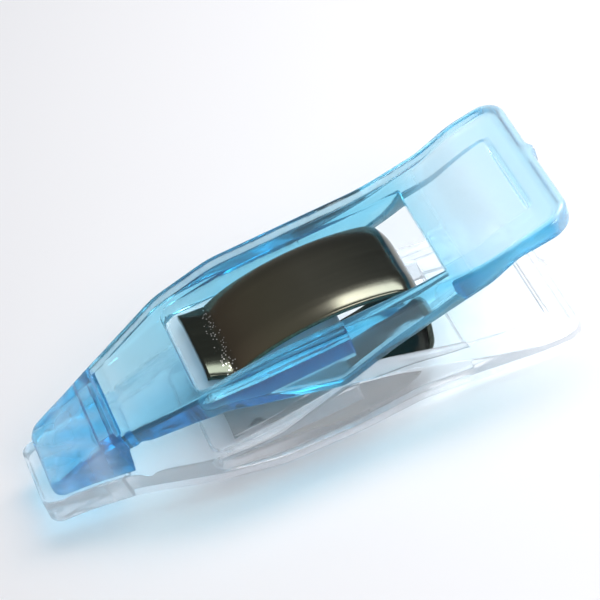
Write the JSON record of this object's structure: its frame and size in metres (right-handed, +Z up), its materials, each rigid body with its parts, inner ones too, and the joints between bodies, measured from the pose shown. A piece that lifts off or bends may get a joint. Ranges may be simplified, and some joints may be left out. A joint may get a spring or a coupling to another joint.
{
  "type": "spring clothespin clip",
  "caption": "Small spring clip with a tinted upper lever and a clear lower lever that rock on each other, squeezed by a C-shaped metal band.",
  "frame": {"origin": "centre of the clip's footprint, on the surface that it lies on", "axes": "+X from the jaws to the handles, +Y across the clip, +Z up from the lower lever to the upper lever"},
  "size_m": [0.0278, 0.0098, 0.0081],
  "materials": {
    "tinted_plastic": "moulded translucent sky blue, glossy",
    "clear_plastic": "moulded water clear, glossy",
    "spring_steel": "dark nickel plated strip, bright glints at the crease"
  },
  "bodies": {
    "base": {"lower_lever": "clear_plastic", "spring": "spring_steel"},
    "top": {"upper_lever": "tinted_plastic"}
  },
  "joints": [
    {"name": "squeeze", "type": "hinge", "parent": "base", "child": "top", "pos_m": [0.00131, 0, 0.00428], "axis": [0, 1, 0], "range_deg": [0, 26], "stiffness_Nm_per_rad": 0.0001, "springref_deg": -2.86, "deforming": ["spring"]}
  ]
}
